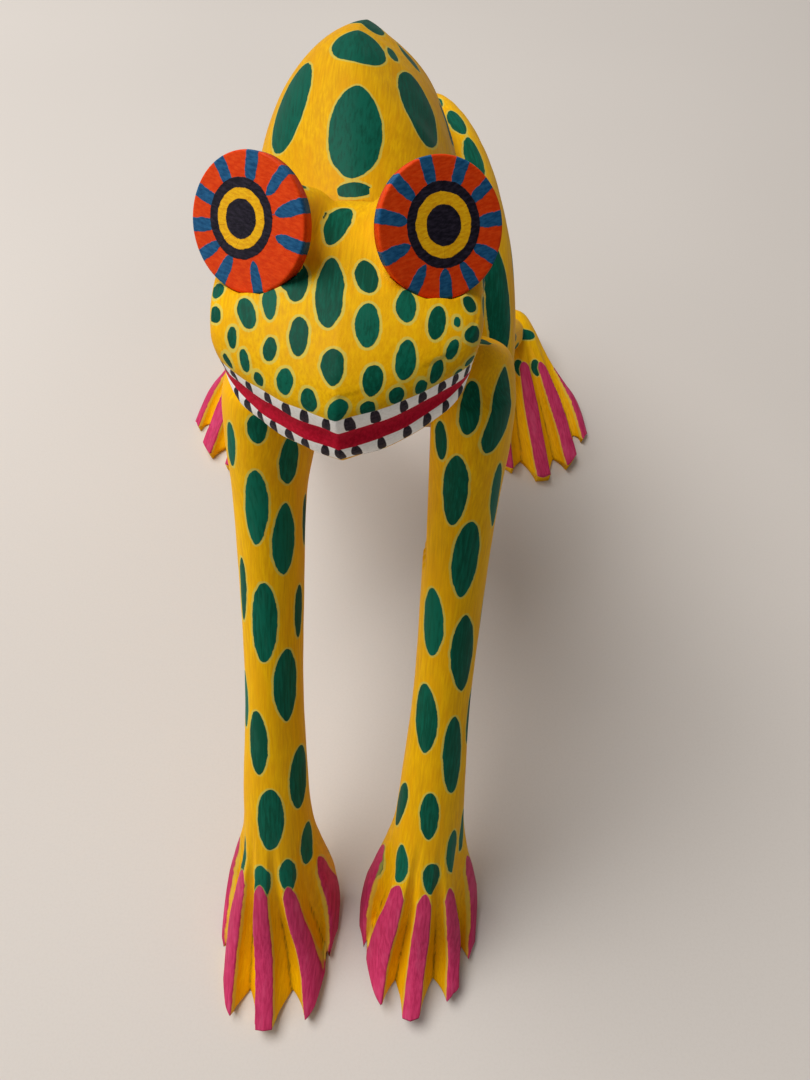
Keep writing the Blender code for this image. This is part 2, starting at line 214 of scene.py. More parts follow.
def capFaces(points, ring, values, extra, style):
    # "zip" joins the two long sides of a flat ring straight across; "fan" meets in the middle
    ring = [int(i) for i in ring]
    count = len(ring)
    if style == "zip":
        faces = [(ring[k], ring[k + 1], ring[count - k - 1], ring[count - k]) for k in range(1, count // 2 - 1)]
        half = count // 2
        return faces + [(ring[0], ring[1], ring[-1]), (ring[half - 1], ring[half], ring[half + 1])]
    points.append(tuple(np.mean([points[i] for i in ring], axis=0)))
    for key, array in (values or {}).items():
        flat = array.reshape(array.shape[0] * array.shape[1], -1)
        extra[key].append(flat[ring].mean(axis=0))
    last = len(points) - 1
    return [(ring[k], ring[(k + 1) % count], last) for k in range(count)]


def setValues(mesh, name, array):
    array = np.asarray(array, np.float32)
    vector = array.ndim == 2 and array.shape[1] == 3
    kind = "FLOAT_VECTOR" if vector else "FLOAT"
    layer = mesh.attributes.get(name) or mesh.attributes.new(name, kind, "POINT")
    layer.data.foreach_set("vector" if vector else "value", array.ravel())


def getValues(mesh, name, width=1):
    array = np.zeros(len(mesh.vertices) * width, np.float32)
    mesh.attributes[name].data.foreach_get("vector" if width == 3 else "value", array)
    return array.reshape(-1, width) if width == 3 else array


def carryValues(sources, target, widths):
    # Gives each point of the joined mesh the values of the nearest face it came from
    points, faces, stacks = [], [], {name: [] for name in widths}
    for mesh in sources:
        first = sum(len(block) for block in points)
        points.append(meshPoints(mesh))
        faces += [[first + i for i in face.vertices] for face in mesh.polygons]
        for name, width in widths.items():
            stacks[name].append(getValues(mesh, name, width).reshape(len(mesh.vertices), width))
    points = np.vstack(points)
    tree = BVHTree.FromPolygons([Vector(p) for p in points], faces)
    stacks = {name: np.vstack(blocks) for name, blocks in stacks.items()}
    wanted = meshPoints(target)
    found = {name: np.zeros((len(wanted), width)) for name, width in widths.items()}
    for i, point in enumerate(wanted):
        corners = faces[tree.find_nearest(Vector(point))[2]]
        weight = 1 / (np.linalg.norm(points[corners] - point, axis=1) + 1e-4)
        for name in widths:
            found[name][i] = weight @ stacks[name][corners] / weight.sum()
    for name, width in widths.items():
        setValues(target, name, found[name] if width == 3 else found[name][:, 0])


def meshPoints(mesh):
    array = np.zeros(len(mesh.vertices) * 3)
    mesh.vertices.foreach_get("co", array)
    return array.reshape(-1, 3) / millimetre


def meshNormals(mesh):
    array = np.zeros(len(mesh.vertices) * 3)
    mesh.vertices.foreach_get("normal", array)
    return array.reshape(-1, 3)


def makeObject(name, mesh):
    made = bpy.data.objects.new(name, mesh)
    bpy.context.scene.collection.objects.link(made)
    return made


def settle(made, modifiers):
    # Applies the modifiers given as (type, settings) and leaves a plain mesh
    for kind, settings in modifiers:
        change = made.modifiers.new(kind.title(), kind)
        for key, value in settings.items():
            setattr(change, key, value)
    bpy.context.view_layer.update()
    evaluated = made.evaluated_get(bpy.context.evaluated_depsgraph_get())
    mesh = bpy.data.meshes.new_from_object(evaluated)
    made.modifiers.clear()
    made.data = mesh
    return made


def remove(*objects):
    for item in objects:
        bpy.data.objects.remove(item)


def trim(mesh, point, normal):
    # Cuts away what lies against the normal and closes the cut
    build = bmesh.new()
    build.from_mesh(mesh)
    everything = [*build.verts, *build.edges, *build.faces]
    where = Vector(point) * millimetre
    cut = bmesh.ops.bisect_plane(build, geom=everything, plane_co=where, plane_no=normal, clear_inner=True)
    rim = [item for item in cut["geom_cut"] if isinstance(item, bmesh.types.BMEdge)]
    bmesh.ops.edgeloop_fill(build, edges=rim)
    bmesh.ops.triangulate(build, faces=[face for face in build.faces if len(face.verts) > 4])
    bmesh.ops.recalc_face_normals(build, faces=build.faces)
    build.to_mesh(mesh)
    build.free()


# ---- painted spots

def ovalDistance(a, b, halfLength, halfWidth, point=1.75):
    # About how far outside a leaf-shaped oval, in millimetres; negative inside
    p = np.abs(a) / halfLength
    q = np.abs(b) / halfWidth
    value = p ** 2.1 + q ** point - 1
    slope = np.hypot(2.1 * p ** 1.1 / halfLength, point * (q + 1e-6) ** (point - 1) / halfWidth) + 1e-6
    return np.clip(value / np.maximum(slope, 0.35 / halfWidth), -halfWidth, 6.0)


def paintSpots(mesh, plan, along, seed):
    # plan: x, y, z of each spot's middle, its length, width and lean in degrees; along(point) is the way it runs
    points = meshPoints(mesh)
    normals = meshNormals(mesh)
    tree = BVHTree.FromPolygons([Vector(p) for p in points], [face.vertices[:] for face in mesh.polygons])
    nearest = np.full(len(points), 6.0)
    shade = np.zeros(len(points))
    dice = np.random.default_rng(seed)
    for x, y, z, spotLength, spotWidth, lean in plan:
        hit, normal, face, distance = tree.find_nearest(Vector((x, y, z)))
        middle = np.array(hit)
        normal = np.array(normal)
        run = np.array(along(middle))
        run = unit(run - normal * (run @ normal))
        side = np.cross(run, normal)
        turn = math.radians(lean)
        run, side = run * math.cos(turn) + side * math.sin(turn), side * math.cos(turn) - run * math.sin(turn)
        offset = points - middle
        near = np.where((np.abs(offset).max(axis=1) < spotLength) & (normals @ normal > 0.1))[0]
        offset = offset[near]
        sharp = dice.uniform(1.6, 2.0)
        swell = 1 + 0.10 * dice.uniform(-1, 1) * (offset @ run) / (spotLength / 2)
        gap = ovalDistance(offset @ run, offset @ side / swell, spotLength / 2, spotWidth / 2, sharp)
        closer = gap < nearest[near]
        nearest[near[closer]] = gap[closer]
        shade[near[closer]] = dice.uniform()
    setValues(mesh, "spotGap", nearest)
    setValues(mesh, "spotShade", shade)


def fillSpots(mesh, plan, wanted, spacing, sizes, seed):
    # Spots for the sides that carry no plan of their own, laid at random where they clear the others
    points = meshPoints(mesh)
    dice = np.random.default_rng(seed)
    candidates = np.where(wanted(points, meshNormals(mesh)))[0]
    dice.shuffle(candidates)
    laid = list(plan)
    for index in candidates[:4000]:
        spotLength = dice.uniform(*sizes)
        spotWidth = spotLength * dice.uniform(0.34, 0.5)
        where = points[index]
        if all(math.dist(where, spot[:3]) > spacing * (spot[3] + spotLength) / 2 for spot in laid):
            laid.append((*where, spotLength, spotWidth, dice.uniform(-14, 14)))
    return laid


def finishPiece(made, name, material, *nodes, slot="painted_wood"):
    made.data.transform(Matrix.Translation(Vector(origin)))
    made.data.materials.clear()
    made.data.materials.append(material)
    made.data.shade_smooth()
    made.name = name
    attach(made, "root")
    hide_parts(*nodes)
    print(name, len(made.data.polygons), "faces")
    return made


# ---- paint

def paintedWood(piece, toes=False, mouth=False):
    g = Graph(piece + "Paint")
    stroke = g.attribute("strokeAt", "Vector")
    place = g.attribute("placeAt", "Vector")
    streak = g.noise(g.scaled(stroke, (1.0, 1.0, 0.07)), 1.3, 3.0, 0.62)
    broad = g.noise(g.scaled(stroke, (1.0, 1.0, 0.22)), 0.30, 2.0, 0.5)
    cloud = g.noise(place, 0.045, 2.0, 0.5)
    grit = g.noise(place, 3.1, 2.0, 0.6)
    wobble = (g.noise(place, 0.22, 1.0) - 0.5) * 0.8 + (g.noise(place, 0.9, 1.0) - 0.5) * 0.28
    spot = g.attribute("spotGap") + wobble
    inSpot = g.ramp(spot, 0.10, -0.10)
    halo = g.ramp(spot, 0.80, 0.50) * g.ramp(streak, 0.28, 0.5, 0.6, 1.0)

    # The piece's copy of the paints, darker or lighter as painted shade and painted light
    deep, light, warm, pale = paintsLitAndShaded[piece]["yellow"]
    coat = g.mix(g.ramp(streak, 0.20, 0.80), deep, light)
    coat = g.mix(g.ramp(broad, 0.45, 0.78) * 0.55, coat, warm)
    coat = g.mix(g.ramp(cloud, 0.42, 0.68) * 0.35, coat, warm)
    coat = g.mix(g.ramp(grit, 0.60, 0.78) * 0.18, coat, deep)
    coat = g.mix(halo * 0.75, coat, pale)

    dark, mid, chalk = paintsLitAndShaded[piece]["green"]
    shade = g.attribute("spotShade")
    leaf = g.mix(g.ramp(streak + (shade - 0.5) * 0.35, 0.32, 0.70), dark, mid)
    leaf = g.mix(g.ramp(broad, 0.55, 0.80) * 0.45, leaf, chalk)
    leaf = g.mix(g.ramp(grit, 0.62, 0.80) * 0.22, leaf, chalk)
    colour = g.mix(inSpot, coat, leaf)
    roughness = 0.58 + (streak - 0.5) * 0.22 - inSpot * 0.05
    height = streak * 0.55 + broad * 0.30 + grit * 0.12 + inSpot * 0.55

    if toes:
        toe = g.attribute("toeGap") + wobble * 0.55
        onToe = g.ramp(toe, 0.12, -0.12)
        toeEdge = g.ramp(toe, 0.65, 0.35) * g.ramp(toe, -0.1, 0.1)
        pink = g.mix(g.ramp(streak, 0.30, 0.70), tone(178, 42, 84), tone(206, 60, 106))
        pink = g.mix(g.ramp(broad, 0.5, 0.75) * 0.5, pink, tone(214, 84, 124))
        fold = g.attribute("foldDepth")
        # Painted shade: the colour darkens to a deep brown along the web grooves between the toes
        grooveShade = g.ramp(fold + (streak - 0.5) * 0.55, 0.80, 1.06)
        colour = g.mix(grooveShade * 0.72, colour, tone(96, 66, 12))
        colour = g.mix(toeEdge * 0.5, colour, pale)
        colour = g.mix(onToe, colour, pink)
        roughness = roughness - onToe * 0.04
        height = height + onToe * 0.5 - grooveShade * 0.8

    if mouth:
        upper = g.attribute("lipHeight") + wobble * 0.22
        ends = g.attribute("lipEnd") + wobble * 0.3
        inside = g.ramp(ends, 0.12, -0.12)
        band = g.ramp(g.attribute("lipGap") + wobble * 0.25, 0.10, -0.10) * inside
        red = g.ramp(g.attribute("slitGap") + wobble * 0.22, 0.10, -0.10) * inside
        tooth = g.ramp(g.attribute("toothGap") + wobble * 0.25, 0.10, -0.10) * band
        white = g.mix(g.ramp(streak, 0.3, 0.7), tone(240, 236, 230), tone(252, 250, 246))
        white = g.mix(g.ramp(broad, 0.5, 0.75) * 0.4, white, tone(230, 224, 214))
        crimson = g.mix(g.ramp(streak, 0.3, 0.7), tone(176, 10, 38), tone(204, 22, 52))
        black = g.mix(g.ramp(streak, 0.35, 0.7), tone(28, 22, 34), tone(62, 52, 60))
        colour = g.mix(band, colour, white)
        colour = g.mix(tooth, colour, black)
        colour = g.mix(red, colour, crimson)
        height = height + band * 0.4 + red * 0.25

    normal = g.bump(height, 0.00013, 0.7)
    return g.finish(colour, roughness, normal, Specular_IOR_Level=0.08)


# Yellow: in the streaks, between them, in the warm patches, round the spots. Green: deep, clear and chalky. Each piece
# holds a copy of the same two paints, darker on the torso as painted shade and lighter on the legs as painted light
paintsLitAndShaded = {
    "torso": {
        "yellow": (tone(200, 142, 0), tone(228, 174, 0), tone(210, 144, 0), tone(190, 180, 82)),
        "green": (tone(0, 64, 48), tone(4, 86, 68), tone(28, 86, 70)),
    },
    "head": {
        "yellow": (tone(212, 154, 0), tone(240, 186, 0), tone(224, 156, 0), tone(200, 190, 88)),
        "green": (tone(0, 68, 50), tone(4, 90, 70), tone(30, 90, 72)),
    },
    "legs": {
        "yellow": (tone(222, 160, 0), tone(250, 194, 0), tone(234, 164, 0), tone(206, 196, 90)),
        "green": (tone(0, 76, 56), tone(6, 102, 80), tone(34, 100, 80)),
    },
}


def layCoordinates(mesh, stroke):
    # stroke holds across, across and along, in millimetres, for the brush marks
    setValues(mesh, "strokeAt", stroke)
    setValues(mesh, "placeAt", meshPoints(mesh))


# ---- limbs

def limb(stations, side, middle, fan, around, steps):
    run = smoothRun(stations, steps)
    centre = np.column_stack([side * run[:, 0] + middle(run[:, 2]), run[:, 1], run[:, 2]])
    ahead = unit(np.gradient(centre, axis=0))
    across = unit(np.cross(ahead, (0, 0, 1)))
    across[across[:, 0] < 0] *= -1
    lift = np.cross(across, ahead)
    lift[lift @ np.array((0, -1, 2)) < 0] *= -1
    level = unit(ahead * (1, 1, 0))
    travelled = np.concatenate([[0], np.cumsum(np.linalg.norm(np.diff(centre, axis=0), axis=1))])
    angle = 2 * np.pi * np.arange(around) / around
    even = np.where(angle <= np.pi, 1 - 2 * angle / np.pi, 2 * angle / np.pi - 3)
    part = np.arange(len(run)) / (len(run) - 1)
    along = np.clip(part - 0.55, 0, 1) / 0.45 if fan else part * 0
    flat = np.clip(along * 1.6, 0, 1)[:, None]
    share = np.cos(angle) * (1 - flat) + even * flat
    height = np.abs(np.sin(angle)) ** (1 - 0.55 * flat) * np.where(np.sin(angle) >= 0, 1, -1)
    flatX = run[:, 3:4] * share
    flatY = run[:, 4:5] * height
    toeGap = np.full(flatX.shape, 6.0)
    fold = np.zeros(flatX.shape)
    back = np.zeros(flatX.shape)
    if fan:
        begin, reach, square, notch, ridge, sag, toes = fan
        top = around // 2 + 1
        back = reach * np.abs(share) ** square * along[:, None] ** 1.2
        for i in range(len(run)):
            since = (part[i] - begin) / (1 - begin)
            if since < -0.45:
                continue
            stepX, stepY = np.gradient(flatX[i]), np.gradient(flatY[i])
            arc = np.concatenate([[0], np.cumsum(np.hypot(np.diff(flatX[i]), np.diff(flatY[i])))])
            girth = np.hypot(stepX, stepY) + 1e-9
            outX, outY = stepY / girth, -stepX / girth
            spots = []
            stretch = np.interp(share[i] * side, [toe[1] for toe in toes], [toe[4] for toe in toes])
            back[i] -= stretch * np.clip(since, 0, 1) ** 2
            for startPlace, tipPlace, width, length, longer in toes:
                place = startPlace + (tipPlace - startPlace) * np.clip(since, 0, 1) ** 1.4
                start = np.interp(-place * side, -share[i][:top], arc[:top])
                ran = since * length
                full = width / 2 * (0.72 + 0.28 * np.clip(since * 2.2, 0, 1))
                half = full * (np.clip(ran / 6, 0, 1) ** 0.5 if ran > 0 else 0) + min(0.0, ran * 0.9)
                spots.append((start, half, full))
            spots.sort()
            rise = np.zeros(around)
            webbed = np.zeros(around)
            grow = np.clip((since + 0.12) / 0.55, 0, 1)
            groove = np.clip((since + 0.42) / 0.85, 0, 1) ** 1.2
            for start, half, full in spots:
                gap = np.abs(arc - start)
                toeGap[i] = np.minimum(toeGap[i], gap - half)
                crown = np.clip((full + 1.3 - gap) / 1.7, 0, 1)
                crown = crown * crown * (3 - 2 * crown)
                facet = 0.30 * np.clip(side * (arc - start) / full - 0.1, 0, 1)
                rise = np.maximum(rise, crown * (1 - facet))
            for (startA, halfA, fullA), (startB, halfB, fullB) in zip(spots, spots[1:]):
                low, high = startA + fullA, startB - fullB
                webbed = np.maximum(webbed, np.clip(1 - np.abs(arc - (low + high) / 2) / ((high - low) / 2), 0, 1))
            upper = np.clip((flatY[i] / (run[i, 4] + 1e-6) + 0.15) * 4, 0, 1)
            sink = webbed ** 0.62
            moved = (ridge * grow * rise - sag * groove * sink) * upper
            flatX[i] += outX * moved
            flatY[i] += outY * moved
            # fold marks the web grooves, where the paint puts painted shade
            fold[i] = webbed * groove ** 0.6 * upper
            mirrored = np.concatenate([sink[:top], sink[1:top - 1][::-1]])[:around]
            back[i] += notch * mirrored * np.clip(since, 0, 1) ** 4
            toeGap[i][top:] = np.where(arc[-1] - arc[top:] < 0.5, toeGap[i][top:], 6.0)
    grid = centre[:, None] + across[:, None] * flatX[..., None] + lift[:, None] * flatY[..., None]
    grid -= level[:, None] * back[..., None]
    stroke = np.stack([flatX, flatY, np.broadcast_to(travelled[:, None], flatX.shape)], -1)
    values = {"strokeAt": stroke, "toeGap": toeGap, "foldDepth": fold}
    return grid, values


def limbWay(parts, side, middle):
    # The way a limb runs beside any point of it
    centres, ways = [], []
    for stations in parts:
        run = smoothRun(stations, 6)
        centre = np.column_stack([side * run[:, 0] + middle(run[:, 2]), run[:, 1], run[:, 2]])
        centres.append(centre)
        ways.append(unit(np.gradient(centre, axis=0)))
    centres, ways = np.vstack(centres), np.vstack(ways)
    return lambda point: ways[np.linalg.norm(centres - point, axis=1).argmin()]


# Each station: outward from the limb's own line, y, z, half width, half depth
frontLeg = (
    (-1.0, 28.0, 229.0, 4.0, 6.0),
    (-1.0, 26.5, 226.5, 10.5, 15.0),
    (-1.5, 22.0, 216.0, 14.5, 20.0),
    (-1.0, 14.0, 202.0, 14.5, 18.5),
    (0.0, 2.0, 183.0, 12.2, 15.0),
    (0.0, -19.0, 151.0, 11.2, 12.5),
    (0.0, -43.0, 115.0, 11.0, 11.7),
    (0.0, -65.0, 83.0, 12.8, 11.7),
    (0.0, -79.0, 61.5, 14.4, 12.5),
    (0.0, -89.0, 45.0, 17.0, 13.3),
    (0.0, -99.0, 29.0, 20.0, 13.6),
    (0.0, -112.0, 14.0, 22.8, 12.0),
    (0.0, -129.0, 5.0, 24.4, 8.5),
    (0.0, -150.0, 0.5, 24.4, 4.8),
)
thigh = (
    (20.0, 227.0, 177.0, 5.0, 8.5),
    (21.0, 221.0, 179.0, 10.0, 15.5),
    (26.0, 198.0, 182.0, 13.8, 21.5),
    (33.5, 162.0, 185.0, 15.4, 25.0),
    (39.0, 122.0, 184.5, 15.8, 25.5),
    (42.0, 86.0, 179.0, 14.7, 21.5),
    (43.0, 66.0, 174.0, 12.0, 15.0),
    (43.5, 57.0, 172.0, 6.0, 7.5),
)
shank = (
    (43.0, 62.0, 172.0, 6.0, 7.0),
    (43.0, 67.0, 168.0, 11.5, 14.0),
    (44.0, 90.0, 148.0, 12.0, 15.5),
    (49.0, 135.0, 110.0, 11.5, 14.0),
    (60.0, 190.0, 67.0, 9.8, 11.0),
    (73.0, 233.0, 34.0, 11.0, 11.5),
    (78.0, 248.0, 22.0, 8.0, 8.0),
)
hindFoot = (
    (78.0, 266.0, 15.0, 5.0, 6.0),
    (78.5, 261.0, 16.0, 11.0, 12.5),
    (80.0, 248.0, 17.0, 15.0, 16.0),
    (83.0, 229.0, 13.0, 20.5, 15.0),
    (87.0, 205.0, 8.0, 27.0, 12.5),
    (91.5, 177.0, 3.5, 32.5, 9.0),
    (97.0, 141.0, 0.5, 34.5, 5.2),
)
# Toes of one foot: place across it from -1 to 1 at the ankle and at the tip, ridge width, length, extra reach
footToes = {
    1: (
        (-0.96, -0.98, 4.4, 60, -6), (-0.50, -0.74, 8.4, 60, -5), (0.10, -0.06, 7.4, 60, -1), (0.62, 0.66, 5.2, 60, -8),
        (0.96, 0.98, 3.8, 60, -2),
    ),
    -1: (
        (-0.92, -0.98, 4.2, 60, -6), (-0.38, -0.76, 7.0, 60, 1), (0.24, 0.06, 7.4, 60, 4), (0.72, 0.78, 5.4, 60, 3),
        (0.98, 0.99, 2.6, 60, 0),
    ),
}
frontFan = {side: (0.715, 34.0, 5.0 if side > 0 else 6.0, 13.0, 3.0, 4.2, toes) for side, toes in footToes.items()}
hindToes = ((-0.95, -0.98, 6, 90, 0), (-0.56, -0.62, 8, 90, 0), (0.0, 0.0, 8.4, 90, 0), (0.5, 0.58, 8, 90, 0), (0.95, 0.98, 6, 90, 0))
hindFan = (0.56, 34.0, 2.2, 14.0, 2.6, 3.8, hindToes)
shoulderSeat = 18.8         # flat face of each shoulder, from the chest's middle
hipSeat = 14.3


def frontMiddle(side):
    return lambda z: side * 31.2 - 6.2 + (side * 1.3 + 10.2) * np.clip(z / 229.0, 0, 1)


def frontLegMesh(side):
    grid, values = limb(frontLeg, side, frontMiddle(side), frontFan[side], 200, 26)
    grid = grid + uneven(grid, 0.35)[..., None] * (0.4, 0.4, 0.2)
    high = grid[..., 2] > 165
    inward = side * (grid[..., 0] - 4.0) < shoulderSeat
    grid[..., 0] = np.where(high & inward, 4.0 + side * shoulderSeat, grid[..., 0])
    grid[..., 2] = np.maximum(grid[..., 2], 0)
    mesh = gridMesh("frontLeg", grid, values, "zip")
    setValues(mesh, "placeAt", meshPoints(mesh))
    return mesh


def hindMiddle(z):
    return z * 0 - 1.5


def hindLegObject(side):
    pieces = []
    for stations, fan, around, steps in ((thigh, None, 130, 22), (shank, None, 110, 28), (hindFoot, hindFan, 200, 28)):
        grid, values = limb(stations, side, hindMiddle, fan, around, steps)
        grid = grid + uneven(grid, 0.35)[..., None] * (0.4, 0.4, 0.4)
        if stations is thigh:
            inward = side * (grid[..., 0] + 1.5) < hipSeat
            grid[..., 0] = np.where(inward, side * hipSeat - 1.5, grid[..., 0])
        grid[..., 2] = np.maximum(grid[..., 2], 0)
        cap = "zip" if fan else "fan"
        pieces.append(makeObject("hindPiece", gridMesh("hindPiece", grid, values, cap)))
    whole, *others = pieces
    sources = [piece.data.copy() for piece in pieces]
    settle(whole, [("BOOLEAN", {"operation": "UNION", "solver": "EXACT", "object": other}) for other in others])
    remove(*others)
    carryValues(sources, whole.data, {"strokeAt": 3, "toeGap": 1, "foldDepth": 1})
    setValues(whole.data, "placeAt", meshPoints(whole.data))
    return whole


# ---- torso and head

neckPoint = (0, 46.0, 263.0)
neckTilt = math.radians(46)
neckNormal = Vector((0, -math.sin(neckTilt), math.cos(neckTilt)))

# Each station: lean to +X, y, top, bottom, half width
torsoStations = (
    (4.0, 6.0, 222.0, 208.0, 9.0),
    (4.0, 12.0, 230.0, 199.0, 17.0),
    (4.0, 25.0, 246.0, 190.0, 25.0),
    (1.0, 42.0, 261.0, 183.0, 30.5),
    (-2.0, 60.0, 266.5, 177.0, 34.0),
    (-4.5, 90.0, 271.5, 171.0, 35.0),
    (-5.0, 120.0, 270.0, 167.0, 34.0),
    (-4.5, 150.0, 260.0, 165.0, 30.0),
    (-3.0, 180.0, 242.0, 165.0, 25.0),
    (-1.5, 207.0, 219.0, 168.0, 18.5),
    (-1.5, 227.0, 199.0, 174.0, 11.5),
    (-1.5, 234.0, 190.0, 180.0, 5.0),
)
headOutline = (
    (0.0, -28.5), (11.0, -24.0), (22.0, -17.2), (30.5, -10.0), (34.5, -3.0), (36.5, 10.0),
    (37.0, 25.0), (35.0, 42.0), (29.0, 56.0), (16.0, 65.0), (0.0, 67.0),
)
# Level rings from chin to crown: share of the outline at the mouth, share elsewhere, z
headRings = (
    (0.300, 0.300, 229.0), (0.620, 0.620, 230.0), (0.840, 0.830, 234.5), (0.940, 0.920, 239.5),
    (0.995, 0.965, 244.0), (1.000, 0.985, 247.5), (0.972, 0.995, 249.6), (0.966, 1.000, 251.6),
    (0.988, 1.000, 253.2), (0.988, 0.998, 257.0), (0.960, 0.980, 259.8), (0.880, 0.900, 263.3),
    (0.720, 0.730, 267.0), (0.480, 0.480, 270.0), (0.220, 0.220, 271.2),
)
headMiddle = 22.0


def torsoMesh():
    run = smoothRun(torsoStations, 22)
    angle = 2 * np.pi * np.arange(180) / 180
    lean, y, top, bottom, half = (run[:, i:i + 1] for i in range(5))
    middle = bottom + 0.55 * (top - bottom)
    rise = np.cos(angle)[None]
    rear = np.clip((y - 85) / 50, 0, 1) * (np.sin(angle) > 0)[None]
    reach = np.abs(np.sin(angle))[None] ** np.where(rise > 0, 1.15 + 0.6 * rear, 1.0)
    x = lean + half * reach * np.sign(np.sin(angle))[None]
    z = middle + rise * np.where(rise > 0, top - middle, middle - bottom)
    grid = np.stack([x, np.broadcast_to(y, x.shape), z], -1)
    grid = grid + uneven(grid, 0.5)[..., None] * (0.6, 0.2, 0.6)
    mesh = gridMesh("torso", grid)
    trim(mesh, Vector(neckPoint) - neckNormal * 0.15, -neckNormal)
    points = meshPoints(mesh)
    layCoordinates(mesh, points[:, [0, 2, 1]])
    return mesh


def evenOutline(count):
    right = smoothRun(headOutline, 12)
    left = right[1:-1][::-1] * (-1, 1)
    closed = np.vstack([right, left, right[:1]])
    run = np.concatenate([[0], np.cumsum(np.linalg.norm(np.diff(closed, axis=0), axis=1))])
    wanted = run[-1] * np.arange(count) / count
    return np.column_stack([np.interp(wanted, run, closed[:, 0]), np.interp(wanted, run, closed[:, 1])])


eyeRadius = 16.2
eyeThickness = 3.2
stalkLength = 30.0


def eyeAxis(side):
    turn, up = math.radians(28), math.radians(35)
    return Vector((side * math.sin(turn) * math.cos(up), -math.cos(turn) * math.cos(up), math.sin(up)))


def eyeMiddle(side):
    return Vector((side * 23.5, 15.0, 278.5))


def eyeFrame(side):
    # The disc's own right, up and outward directions
    axis = eyeAxis(side)
    right = Vector((0, 0, 1)).cross(axis).normalized() * -1
    return np.array(-right), np.array(axis.cross(-right)), np.array(axis)


def turnedGrid(profile, side, around):
    right, up, axis = eyeFrame(side)
    angle = 2 * np.pi * np.arange(around) / around
    spoke = np.cos(angle)[:, None] * right + np.sin(angle)[:, None] * up
    rows = np.array(profile, float)
    return np.array(eyeMiddle(side)) + rows[:, 1, None, None] * axis + rows[:, 0, None, None] * spoke[None]


def headObject():
    outline = evenOutline(220)
    run = smoothRun(headRings, 7)
    lips = np.clip((-8.0 - outline[:, 1]) / 8.0 + 0.5, 0, 1)[None]
    size = run[:, 0:1] * lips + run[:, 1:2] * (1 - lips)
    x = outline[:, 0] * size * (1 - 0.065 * np.clip((263.0 - run[:, 2:3]) / 10.0, 0, 1))
    y = headMiddle + (outline[:, 1] - headMiddle) * size
    behind = np.clip((y - headMiddle) / 45.0, 0, 1)
    grid = np.stack([x, y, run[:, 2:3] - 22.0 * behind ** 2], -1)
    skull = makeObject("skull", gridMesh("skull", grid))
    rim = eyeRadius - 0.2
    profile = (
        (10.3, -stalkLength), (10.5, -18.0), (10.9, -13.5), (11.8, -11.0), (13.4, -7.6), (15.2, -5.0), (rim, -3.4), (rim, -2.0)
    )
    stalks = []
    for side in (1, -1):
        rows = smoothRun(profile, 6)
        stalks.append(makeObject("stalk", gridMesh("stalk", turnedGrid(rows, side, 120))))
    settle(skull, [("BOOLEAN", {"operation": "UNION", "solver": "EXACT", "object": other}) for other in stalks])
    remove(*stalks)
    settle(skull, [("REMESH", {"mode": "VOXEL", "voxel_size": 0.62 * millimetre, "use_smooth_shade": True})])
    mesh = skull.data
    points = meshPoints(mesh)
    blend = np.zeros(len(points))
    for side in (1, -1):
        offset = points - np.array(eyeMiddle(side))
        down = offset @ np.array(eyeAxis(side))
        out = np.linalg.norm(offset - down[:, None] * np.array(eyeAxis(side)), axis=1)
        blend = np.maximum(blend, np.clip((21 - out) / 4, 0, 1) * np.clip((-6 - down) / 5, 0, 1))
    blend *= points[:, 2] > 258
    group = skull.vertex_groups.new(name="blend")
    for step in range(1, 11):
        chosen = np.where((blend * 10).round() == step)[0].tolist()
        if chosen:
            group.add(chosen, step / 10, "REPLACE")
    seats = []
    for side in (1, -1):
        hole = ((eyeRadius + 0.25, -eyeThickness - 0.05), (eyeRadius + 0.25, 2.0))
        seats.append(makeObject("seat", gridMesh("seat", turnedGrid(hole, side, 96))))
    cuts = [("BOOLEAN", {"operation": "DIFFERENCE", "solver": "EXACT", "object": seat}) for seat in seats]
    settle(skull, [("SMOOTH", {"factor": 0.6, "iterations": 60, "vertex_group": "blend"})] + cuts)
    remove(*seats)
    mesh = skull.data
    trim(mesh, Vector(neckPoint) + neckNormal * 0.15, neckNormal)
    points = meshPoints(mesh)
    points = points + uneven(points, 0.45)[:, None] * meshNormals(mesh) * (points[:, 2:3] < 262)
    mesh.vertices.foreach_set("co", (points * millimetre).ravel())
    mesh.update()
    return skull


# ---- mouth

mouthPlan = {
    "halfLength": 42.0,      # from the snout's tip round to each corner
    "top": (257.4, 255.2),   # heights at the tip and at the corners
    "slitTop": (251.6, 250.8),
    "slitBottom": (247.2, 249.8),
    "bottom": (241.2, 245.4),
    # how far round each tooth mark stands, and its height
    "upperTeeth": (-37.5, -32.5, -26.5, -20, -14, -8.8, -2.8, 3.4, 10, 17.8, 23.3, 29.5, 34.2, 39),
    "lowerTeeth": (-33.5, -28.8, -24, -19.5, -14.5, -9.6, -4, 0.2, 4.6, 11.3, 18.6, 24.8, 31, 37),
}


